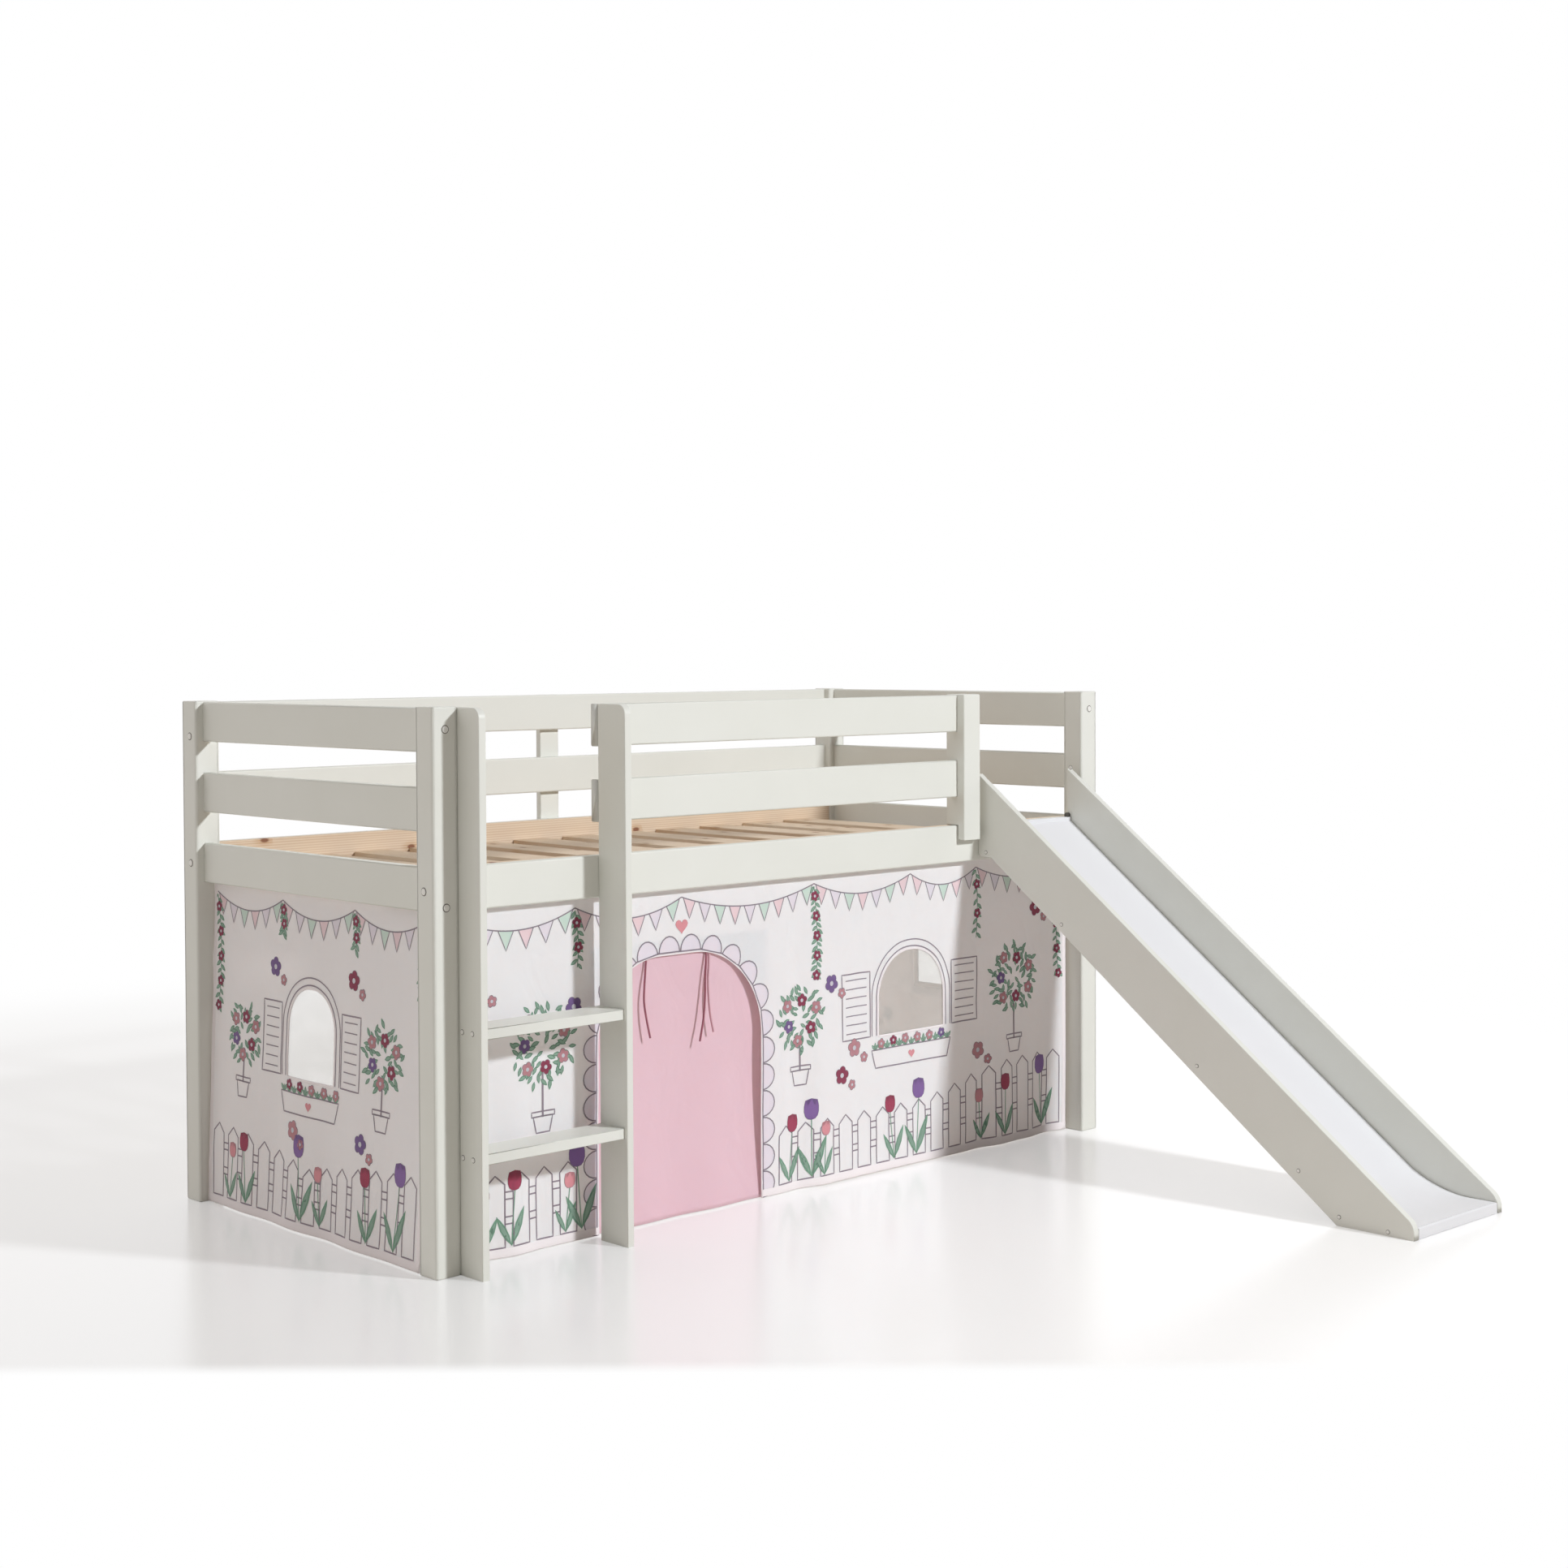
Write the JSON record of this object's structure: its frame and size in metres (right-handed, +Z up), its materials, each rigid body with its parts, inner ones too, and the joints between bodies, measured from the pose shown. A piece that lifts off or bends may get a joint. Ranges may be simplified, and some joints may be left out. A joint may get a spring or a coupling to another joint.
{
  "type": "loft bed with slide",
  "caption": "Child's loft bed in white painted wood with a ladder, a slide, guard rails, a slatted base and a cloth play den below with a doorway and windows.",
  "frame": {"origin": "middle of the bounding box, at floor level", "axes": "+Z up; +X runs along the bed from the ladder end to the slide end; the slide comes down towards -Y"},
  "size_m": [2.084, 2.179, 1.14],
  "materials": {
    "paint": "white paint, satin",
    "pine": "bare, fine sanded",
    "slide_sheet": "smooth white",
    "cloth": "printed woven cloth",
    "pink_cloth": "plain woven cloth",
    "tape": "hook-and-loop strip",
    "film": "clear film"
  },
  "bodies": {
    "bed": {"post_front_left": "paint", "post_front_right": "paint", "post_back_left": "paint", "post_back_right": "paint", "left_top_rail": "paint", "left_middle_rail": "paint", "left_bed_rail": "paint", "right_top_rail": "paint", "right_middle_rail": "paint", "right_bed_rail": "paint", "back_top_rail": "paint", "back_middle_rail": "paint", "back_bed_rail": "paint", "back_centre_batten": "paint", "front_bed_rail": "paint", "guard_top_rail": "paint", "guard_lower_rail": "paint", "guard_end_post": "paint", "ladder_stile_left": "paint", "ladder_stile_right": "paint", "ladder_rung_lower": "paint", "ladder_rung_upper": "paint", "slat_carrier_front": "pine", "slat_carrier_back": "pine", "slat_01": "pine", "slat_02": "pine", "slat_03": "pine", "slat_04": "pine", "slat_05": "pine", "slat_06": "pine", "slat_07": "pine", "slat_08": "pine", "slat_09": "pine", "slat_10": "pine", "slat_11": "pine", "slat_12": "pine", "slide_board_left": "paint", "slide_board_right": "paint", "slide_sheet": "slide_sheet", "slide_top_cleat": "paint", "slide_lower_bar": "paint", "slide_rear_foot_bar": "paint", "slide_front_foot_bar": "paint", "curtain_front": "cloth", "curtain_left": "cloth", "curtain_right": "cloth", "curtain_tape_front": "tape", "curtain_tape_left": "tape", "curtain_tape_right": "tape", "window_film_front": "film", "window_film_left": "film", "window_film_right": "film", "door_tie_left": "pink_cloth", "door_tie_right": "pink_cloth", "door_tie_spare": "pink_cloth"},
    "door_flap": {"door_flap": "pink_cloth"}
  },
  "joints": [
    {"name": "door_flap_hinge", "type": "hinge", "parent": "bed", "child": "door_flap", "pos_m": [-0.354, 0.1538, 0.617], "axis": [1, 0, 0], "range_deg": [0, 80]}
  ]
}
